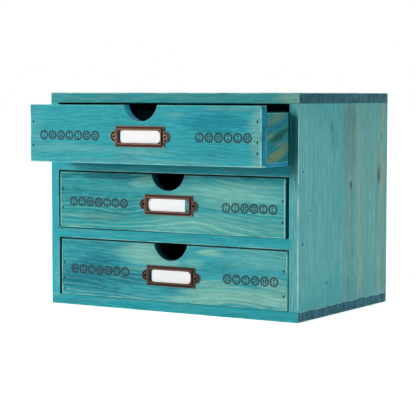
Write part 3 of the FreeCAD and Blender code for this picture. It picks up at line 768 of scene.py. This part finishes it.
def finish_right_side(graph, place, half_size, figure, masks):
    """The resin streaks, the knots and the shades of the face, and the front edge: deeper stain,
    with the open drawer's shadow painted on it.
    """
    up, back, through = graph.split(graph.vector("ADD", place, half_size))
    masks["Worn"] = graph.times(masks["Worn"], graph.step(through, 3.0, 6.0),
                                graph.step(facing(graph, 0), 0.0, 1.0, 1.0, 0.45))
    up = graph.plus(up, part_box("case_right_side")[0].z / MM)
    wander = graph.plus(back, graph.swing(figure["Cloud"], 1.0))
    drier = graph.most(graph.step(back, 66, 120, 0.0, 0.1), graph.times(masks["Thin"], 0.15))
    masks["Thin"] = graph.most(resin_streaks(graph, up, wander), drier)
    face = graph.join(back, up, 0.0)
    ragged = graph.plus(graph.swing(figure["Fibre"], 0.2, reach=0.3),
                        graph.swing(figure["Streak"], 0.2, reach=0.3))
    masks["Dark"] = patches_mask(graph, face, KNOTS + DRY_SHADES, ragged)
    # Painted shadow: beside the open drawer the front edge is painted a dark, deep green.
    drawer_shadow = patches_mask(graph, graph.join(through, up, 0.0), [OPEN_DRAWER_SHADOW],
                          graph.times(ragged, 0.3))
    front = facing(graph, 1, 0.5, 0.65)
    on_front = graph.times(front, graph.most(drawer_shadow, 0.5))
    masks["Deep"] = graph.most(patches_mask(graph, face, DEEP_SHADES, ragged), on_front)
    masks["Deep stain"] = graph.blend(graph.times(front, drawer_shadow),
                                      PALETTES["side"]["Deep stain"], OPEN_DRAWER_SHADOW_COLOUR)


print(len(RESIN_STREAKS), "streaks,", len(KNOTS), "knots")

# %% [markdown]
# ## The gaps round the drawers
#
# A closed drawer is drawn by its gaps, thin dark lines. What is seen in them is the inner face of
# the left side and the upper corner of the board below. No hand reaches there, so they aren't worn
# pale. Little light gets into them, and that shade is painted on them, dark.

# %% Gap finishes
BAY_HALF_WIDTH = 117.0
MIDDLE_BAY_HALF_HEIGHT = 25.5
#  How far the painted shade reaches over the left side's corner at the middle drawer.
SHADE_OVER_CORNER = 0.45


def finish_left_side(graph, place, half_size, figure, masks):
    """The left side: painted shade on its inner face and over its corner at the middle drawer."""
    up, _, through = graph.split(place)
    from_bay = graph.less(graph.size(up), MIDDLE_BAY_HALF_HEIGHT)
    over = graph.step(from_bay, -0.5, 0.5, SHADE_OVER_CORNER, 0.0)
    from_inside = graph.less(half_size[2], through, over)
    masks["Dark"] = graph.fall(from_inside, 0.05, 0.3)
    masks["Worn"] = graph.times(masks["Worn"], graph.less(1.0, masks["Dark"]))


def finish_rail(gap_shade=0.0):
    """The front edge of a board under a drawer, with its upper corner unworn, and the gap's painted
    shade as a dark line along that corner, from the left end to past the middle."""

    def finish(graph, place, half_size, figure, masks):
        x, _, z = graph.split(place)
        from_top = graph.less(half_size[2], z)
        in_bay = graph.fall(graph.less(graph.size(x), BAY_HALF_WIDTH), -0.5, 0.5)
        sheltered = graph.times(in_bay, graph.fall(from_top, 1.0, 2.0))
        masks["Worn"] = graph.times(masks["Worn"], graph.less(1.0, sheltered))
        # Painted shade: the gap above this corner is drawn as a dark line on it.
        line = graph.times(in_bay, graph.fall(from_top, 0.35, 0.65))
        masks["Dark"] = graph.times(graph.step(x, -60, 30, gap_shade, 0.0), line)

    return finish


print(f"dark over {SHADE_OVER_CORNER} mm of the left side's corner")

# %% [markdown]
# ## The side of the open drawer
#
# The drawers' boxes are of rougher wood, with slanting green, blue and sandy bands. They are
# patches too, on a face that is turned by the slant of the grain.

# %% Open drawer finish
#  From the middle of that board: back, up, half length, half height and strength.
BOX_BANDS = {
    "Thin": [(-64, 15.5, 17, 4.2, 0.5), (-74, 1.5, 9, 3.0, 0.45), (-62, -14.4, 20, 4.2, 0.85)],
    "Dark": [(-57, 2.0, 18, 3.2, 0.85), (-48, 5.2, 8, 2.0, 0.5)],
    "Deep": [
        (-49, 13.2, 9, 3.0, 1.0), (-62, 9.0, 16, 2.4, 0.8), (-71, 6.8, 9, 2.2, 0.8),
        (-55, -4.8, 12, 2.0, 0.9), (-72, -8.0, 8, 2.6, 0.6), (-48, -16.6, 8, 1.8, 0.8),
    ],
}
BOX_SLANT = -0.28


def finish_open_box(graph, place, half_size, figure, masks):
    """The slanting bands on the right side of the drawer that stands open."""
    across, up, _ = graph.split(graph.turn(place, BOX_SLANT))
    face = graph.join(across, up, 0.0)
    ragged = graph.plus(graph.swing(figure["Cloud"], 0.4),
                        graph.swing(figure["Streak"], 0.3, reach=0.3),
                        graph.swing(figure["Fibre"], 0.3, reach=0.3))
    cos, sin = math.cos(BOX_SLANT), math.sin(BOX_SLANT)
    for name, bands in BOX_BANDS.items():
        turned = [(x * cos - z * sin, x * sin + z * cos, *rest) for x, z, *rest in bands]
        by_hand = patches_mask(graph, face, turned, ragged)
        masks[name] = graph.most(graph.times(masks[name], 0.3), by_hand)


print({name: len(bands) for name, bands in BOX_BANDS.items()}, "bands")

# %% [markdown]
# ## Dress the case
#
# The boards could be painted one by one, but then a change to the stain would mean painting them
# all again. Here each takes one line of a table: its palette, its grain, its seed and what is
# special about it.

# %% Dress the case
CASE_BOARDS = {
    "case_top": ("case", "X_flat", 3.1, {"butted": False, "finish": finish_top}),
    "case_bottom": ("rail", "X_flat", 4.7, {"butted": False, "finish": finish_rail()}),
    "case_left_side": ("stile", "Z", 5.3, {"contrast": 0.2, "finish": finish_left_side}),
    "case_right_side": ("side", "Z", 6.9, {
        "pith": (0, -170, 40), "ring_width": 2.6, "contrast": 0.12, "wear": 0.9, "stripes": 0.13,
        "blotches": 0.02, "finish": finish_right_side,
    }),
    "upper_shelf": ("rail", "X_flat", 8.2, {"finish": finish_rail()}),
    "lower_shelf": ("rail", "X_flat", 9.6, {"finish": finish_rail(gap_shade=1.0)}),
    "back_panel": ("case", "X", 10.4, {}),
}
for node, (palette, grain, seed, special) in CASE_BOARDS.items():
    dress(node, make_board_material(node, palette, grain, seed, **special))
print(len(CASE_BOARDS), "boards dressed")

# %% [markdown]
# ## Dress the drawers
#
# A drawer is a front and a box of four boards. The three drawers are alike but for their seeds,
# which are counted up from one drawer and one board to the next, so no figure is seen twice.

# %% Dress the drawers
DRAWERS = ("bottom", "middle", "top")
#  Where each front's figure arches, in millimetres: middle, rise and reach.
ARCHES = {"bottom": (68, 6, 36), "middle": (24, 6.5, 38), "top": (-20, 3, 60)}
BOX_BOARDS = {
    "left_side": ("box", "Y", -0.3), "right_side": ("box", "Y", BOX_SLANT),
    "back": ("box", "X", 0.1), "bottom": ("ply", "Y_flat", 0.0),
}
for number, drawer in enumerate(DRAWERS):
    front = f"{drawer}_drawer_front"
    dress(front, make_board_material(
        front, f"{drawer}_front", "X", 21.3 + 7 * number, pith=(0, -90, -40), ring_width=3.6,
        arch=ARCHES[drawer], wear=1.1, stripes=0.07, butted=False, finish=finish_front(drawer)))
    for part, (board, (palette, grain, slant)) in enumerate(BOX_BOARDS.items()):
        node = f"{drawer}_drawer_{board}"
        seed = 50.7 + 11 * number + 2.3 * part
        finish = finish_open_box if node == "top_drawer_right_side" else None
        dress(node, make_board_material(node, palette, grain, seed, slant=slant, finish=finish))
print(len(bpy.data.materials), "materials")

# %% [markdown]
# ## Copper
#
# The holders are cast, plated with copper and darkened, and the raised parts have been rubbed
# bright again. So the finish follows the height above the wood, which the material reads from the
# place on the casting. The lowest holder was rubbed the least.
# On the ridge, slopes turned towards the main light are painted bright, and the rest painted shade.

# %% Copper
FRAME_HALF_LENGTH = 24.5
EAR_RADIUS = 4.75
#  Heights above the wood, from where each part starts to be bright to where it is.
RIM_HEIGHT, RIDGE_HEIGHT, BEAD_TOP = (0.6, 0.95), (1.0, 1.5), (2.05, 2.25)
# The main light's side: ridge slopes turned this way get a painted highlight, the rest painted
# shade.
RIDGE_LIGHT_DIRECTION = (-0.81, -0.52, 0.27)
LEFT_ARM_WIDTH = 4.5
RUBBED = {"top": 1.0, "middle": 0.8, "bottom": 0.5}


def make_copper(drawer):
    """Dark copper, rubbed on the ridge of the frame, its outer edge and the rings of the ears.

    On the ridge, slopes that face up and left, towards the main light, get a painted highlight,
    and those that face down and right get painted shade. The ridge is dimmer on the frame's left
    arm, and the frame's lower right corner has a painted highlight. The ears are the darkest.
    """
    material, graph, shader = new_material(f"{drawer}_antique_copper")
    middle, half = measure(f"{drawer}_label_holder")
    across, out, up = graph.split(graph.millimetres(middle))
    height = graph.less(half[1], out)
    normal = graph.add("TexCoord").outputs["Normal"]
    faces_light = graph.step(graph.vector("DOT_PRODUCT", normal, RIDGE_LIGHT_DIRECTION), 0.45, 0.85)
    ridge = graph.times(graph.step(height, *RIDGE_HEIGHT), graph.step(faces_light, 0.0, 1.0, 0.04, 1.0))
    ridge = graph.most(ridge, graph.step(height, *BEAD_TOP, 0.0, 0.7))
    left_end = -FRAME_HALF_LENGTH
    left_arm_share = graph.step(across, left_end, left_end + LEFT_ARM_WIDTH, 0.3, 1.0)
    ridge = graph.times(ridge, left_arm_share)
    from_end = graph.less(FRAME_HALF_LENGTH, graph.size(across))
    from_edge = graph.less(half[2], graph.size(up))
    nearest = graph.size(graph.least(from_end, from_edge))
    rim = graph.step(nearest, 0.1, 0.8, 0.5, 0.0)
    # A painted highlight on the frame's lower right corner.
    from_corner = graph.join(graph.less(across, FRAME_HALF_LENGTH), graph.plus(up, half[2]), 0.0)
    corner = graph.fall(graph.length(from_corner), 0.6, 2.4)
    rim = graph.times(graph.most(rim, corner), graph.step(height, *RIM_HEIGHT))
    on_ear = graph.fall(from_end, -0.3, 0.0)
    from_ear = graph.length(graph.join(from_end, up, 0.0))
    ring = graph.step(from_ear, EAR_RADIUS - 0.5, EAR_RADIUS - 0.2, 0.0, 0.6)
    mottle = graph.noise(graph.millimetres(), 3.0, scale=0.9, detail=4.0)
    # Wear on the ridge, rim and ear rings, with the ridge's and the corner's painted highlight and
    # shade.
    rubbed = graph.times(graph.most(ridge, rim, graph.times(ring, on_ear)),
                         graph.step(mottle, 0.3, 0.7, 0.6, 1.0), RUBBED[drawer])
    dark = graph.blend(on_ear, tint(46, 36, 33), tint(32, 25, 21))
    graph.feed(shader, Base_Color=graph.blend(rubbed, dark, tint(208, 138, 104)),
               Roughness=graph.step(rubbed, 0.0, 1.0, 0.62, 0.4),
               Metallic=graph.step(rubbed, 0.0, 1.0, 0.12, 0.35), Specular_IOR_Level=0.25)
    return material


for drawer in DRAWERS:
    dress(f"{drawer}_label_holder", make_copper(drawer))
print([material.name for material in bpy.data.materials if "copper" in material.name])

# %% [markdown]
# ## Pins, nails and cards
#
# The small pieces need little: one colour with a fine mottle. The nails are dull steel. The
# holders' pins are tubes of worn brass, pale on the head, with black painted shade down the bore.
# The card glows a little: painted light that makes it whiter than the lamps alone make it.

# %% Pins, nails and cards
PIN_COLOURS = {"top": (232, 206, 178), "middle": (148, 118, 96), "bottom": (134, 114, 88)}
#  The painted shade down the pin's bore, in millimetres from its axis: from where it is black to
#  where the head starts.
BORE_SHADE_EDGE = (1.15, 1.35)
# The card's glow is painted light, from no lamp: it makes the card whiter.
CARD_PAINTED_GLOW = 0.06


def make_plain(name, colour, roughness, metallic, mottle_size, mottle_depth):
    """A fine-mottled finish for a small piece."""
    material, graph, shader = new_material(name)
    mottle = graph.noise(graph.millimetres(), 1.0, (mottle_size,) * 3, detail=4.0)
    mottle = graph.step(mottle, 0.25, 0.75, 1 - mottle_depth, 1.0)
    graph.feed(shader, Base_Color=graph.dim(tint(*colour), mottle), Roughness=roughness,
               Metallic=metallic)
    return material, graph, shader


def make_pin_brass(drawer):
    """Pale worn brass on the two tubular pins' heads, and painted shade, black, down their bores.
    """
    material, graph, shader = make_plain(f"{drawer}_pin_brass", PIN_COLOURS[drawer], 0.35, 0.5,
                                         mottle_size=0.6, mottle_depth=0.3)
    middle, half = measure(f"{drawer}_holder_pins")
    across, _, up = graph.split(graph.millimetres(middle))
    from_axis = graph.less(graph.size(across), half[0] - half[2])
    distance = graph.length(graph.join(from_axis, 0.0, up))
    head = shader.inputs["Base Color"].links[0].from_socket
    # Painted shade: the bore is coloured black.
    bore_shaded = graph.blend(graph.fall(distance, *BORE_SHADE_EDGE), head, tint(6, 6, 7))
    graph.feed(shader, Base_Color=bore_shaded)
    return material


nail_steel, _, _ = make_plain("nail_steel", (22, 34, 38), 0.6, 0.4, 0.5, 0.5)
label_card, graph, shader = make_plain("label_card", (252, 251, 251), 0.8, 0.0, 2.0, 0.02)
graph.feed(shader, Emission_Color=(1, 1, 1, 1), Emission_Strength=CARD_PAINTED_GLOW)
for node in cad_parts:
    if node.endswith(("brads", "bottom_pins", "panel_pins")):
        dress(node, nail_steel)
for drawer in DRAWERS:
    dress(f"{drawer}_holder_pins", make_pin_brass(drawer))
    dress(f"{drawer}_label_card", label_card)
print(len(bpy.data.materials), "materials")

# %% [markdown]
# ## The shape of a printed button
#
# A row of plain buttons is stamped on each front, on either side of its label holder. Ink lies on
# the wood, so each stroke is a very thin closed strip: a small rectangle carried round the button's
# rim. The rim's radius at an angle t is R (1 + a cos n t). With no a it is a circle, and a small a
# gives a scalloped button with n petals. The holes are thin discs.

# %% Button shapes
INK_INTO_WOOD = 0.02
INK_ABOVE_WOOD = 0.04
RIM_WIDTH = 1.1
RING_WIDTH = 0.2
HOLE_RADIUS = 0.8
HOLE_DISTANCE = 1.4
#  Each kind of button: rim radius, scallop depth, petals, inner ring's radius and number of holes.
BUTTON_KINDS = [(3.65, 0.0, 0, 2.8, 4), (3.6, 0.05, 12, 2.7, 2), (3.65, 0.0, 0, 2.8, 2),
                (3.6, 0.045, 8, 2.7, 4)]


def carried_rectangle(x, z, radius, scallop, petals, width, face, steps=48):
    """A rectangle carried round a rim: (x + r cos t, z + r sin t).

    r is radius (1 + scallop cos petals t), give or take half the width.
    """
    angle = np.linspace(0, 2 * np.pi, steps, endpoint=False)
    middle = radius * (1 + scallop * np.cos(petals * angle))
    reach = np.array([-width / 2, width / 2, width / 2, -width / 2])[:, None] + middle
    depth = np.array([-INK_ABOVE_WOOD, -INK_ABOVE_WOOD, INK_INTO_WOOD, INK_INTO_WOOD])[:, None]
    points = np.stack((x + reach * np.cos(angle), face + depth + 0 * angle,
                       z + reach * np.sin(angle)), axis=-1)
    corner, step = np.meshgrid(np.arange(4), np.arange(steps), indexing="ij")
    next_corner, next_step = (corner + 1) % 4, (step + 1) % steps
    quads = np.stack((corner * steps + step, next_corner * steps + step,
                      next_corner * steps + next_step, corner * steps + next_step), axis=-1)
    return points.reshape(-1, 3), [quads.reshape(-1, 4)]


def ink_disc(x, z, radius, face, steps=14):
    """A thin disc: (x + radius cos t, z + radius sin t), from above the wood to just inside it."""
    angle = np.linspace(0, 2 * np.pi, steps, endpoint=False)
    ring = np.stack((x + radius * np.cos(angle), 0 * angle, z + radius * np.sin(angle)), axis=-1)
    points = np.concatenate((ring + (0, face - INK_ABOVE_WOOD, 0),
                             ring + (0, face + INK_INTO_WOOD, 0)))
    step = np.arange(steps)
    following = (step + 1) % steps
    caps = np.stack((step, step[::-1] + steps))
    return points, [caps, np.stack((step, step + steps, following + steps, following), axis=-1)]


def button(x, z, kind, face):
    """The strips and discs of one button: the points of each, and its polygons by their size."""
    radius, scallop, petals, ring, holes = BUTTON_KINDS[kind % len(BUTTON_KINDS)]
    shapes = [carried_rectangle(x, z, radius, scallop, petals, RIM_WIDTH, face),
              carried_rectangle(x, z, ring, 0.0, 0, RING_WIDTH, face, steps=36)]
    for hole in range(holes):
        angle = 2 * math.pi * (hole + 0.5) / holes
        shapes.append(ink_disc(x + HOLE_DISTANCE * math.cos(angle),
                               z + HOLE_DISTANCE * math.sin(angle), HOLE_RADIUS, face))
    return shapes


print(len(BUTTON_KINDS), "kinds of button,", len(button(0, 0, 0, 0)), "shapes in the first")

# %% [markdown]
# ## Print the rows
#
# A rubber stamp never prints evenly. Noise in the ink's colour lets the stain show through where
# the stamp was dry. Each row is one piece, and it rides on its drawer.

# %% Print the rows
BUTTON_PITCH = 9.05
#  The first button's middle, from the front's lower left corner, and the number of buttons.
ROWS = {"left": (15.2, 23.5, 7), "right": (174.0, 23.5, 6)}


def make_ink():
    """Brown-black ink, dry in places."""
    material, graph, shader = new_material("stamped_ink")
    patchy = graph.noise(graph.millimetres(), 8.1, scale=0.55, detail=5.0, roughness=0.7)
    dry = graph.step(patchy, 0.5, 0.75, 0.0, 0.55)
    graph.feed(shader, Base_Color=graph.blend(dry, tint(54, 50, 56), tint(60, 140, 146)),
               Roughness=0.75, Specular_IOR_Level=0.15)
    return material


def make_row(drawer, side, ink):
    """One row of buttons, as one piece."""
    low = np.array(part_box(f"{drawer}_drawer_front")[0]) / MM
    first_x, middle_z, count = ROWS[side]
    vertices, faces, used = [], [], 0
    for number in range(count):
        x = low[0] + first_x + number * BUTTON_PITCH
        kind = number + DRAWERS.index(drawer)
        for points, polygons in button(x, low[2] + middle_z, kind, low[1]):
            vertices.append(points)
            for same_size in polygons:
                faces += (same_size + used).tolist()
            used += len(points)
    mesh = bpy.data.meshes.new(f"{drawer}_drawer_{side}_print")
    mesh.from_pydata((np.concatenate(vertices) * MM).tolist(), [], faces)
    mesh.materials.append(ink)
    row = bpy.data.objects.new(mesh.name, mesh)
    scene.collection.objects.link(row)
    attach(row, f"{drawer}_drawer")
    return row


ink = make_ink()
prints = [make_row(drawer, side, ink) for drawer in DRAWERS for side in ROWS]
print({row.name: len(row.data.polygons) for row in prints})
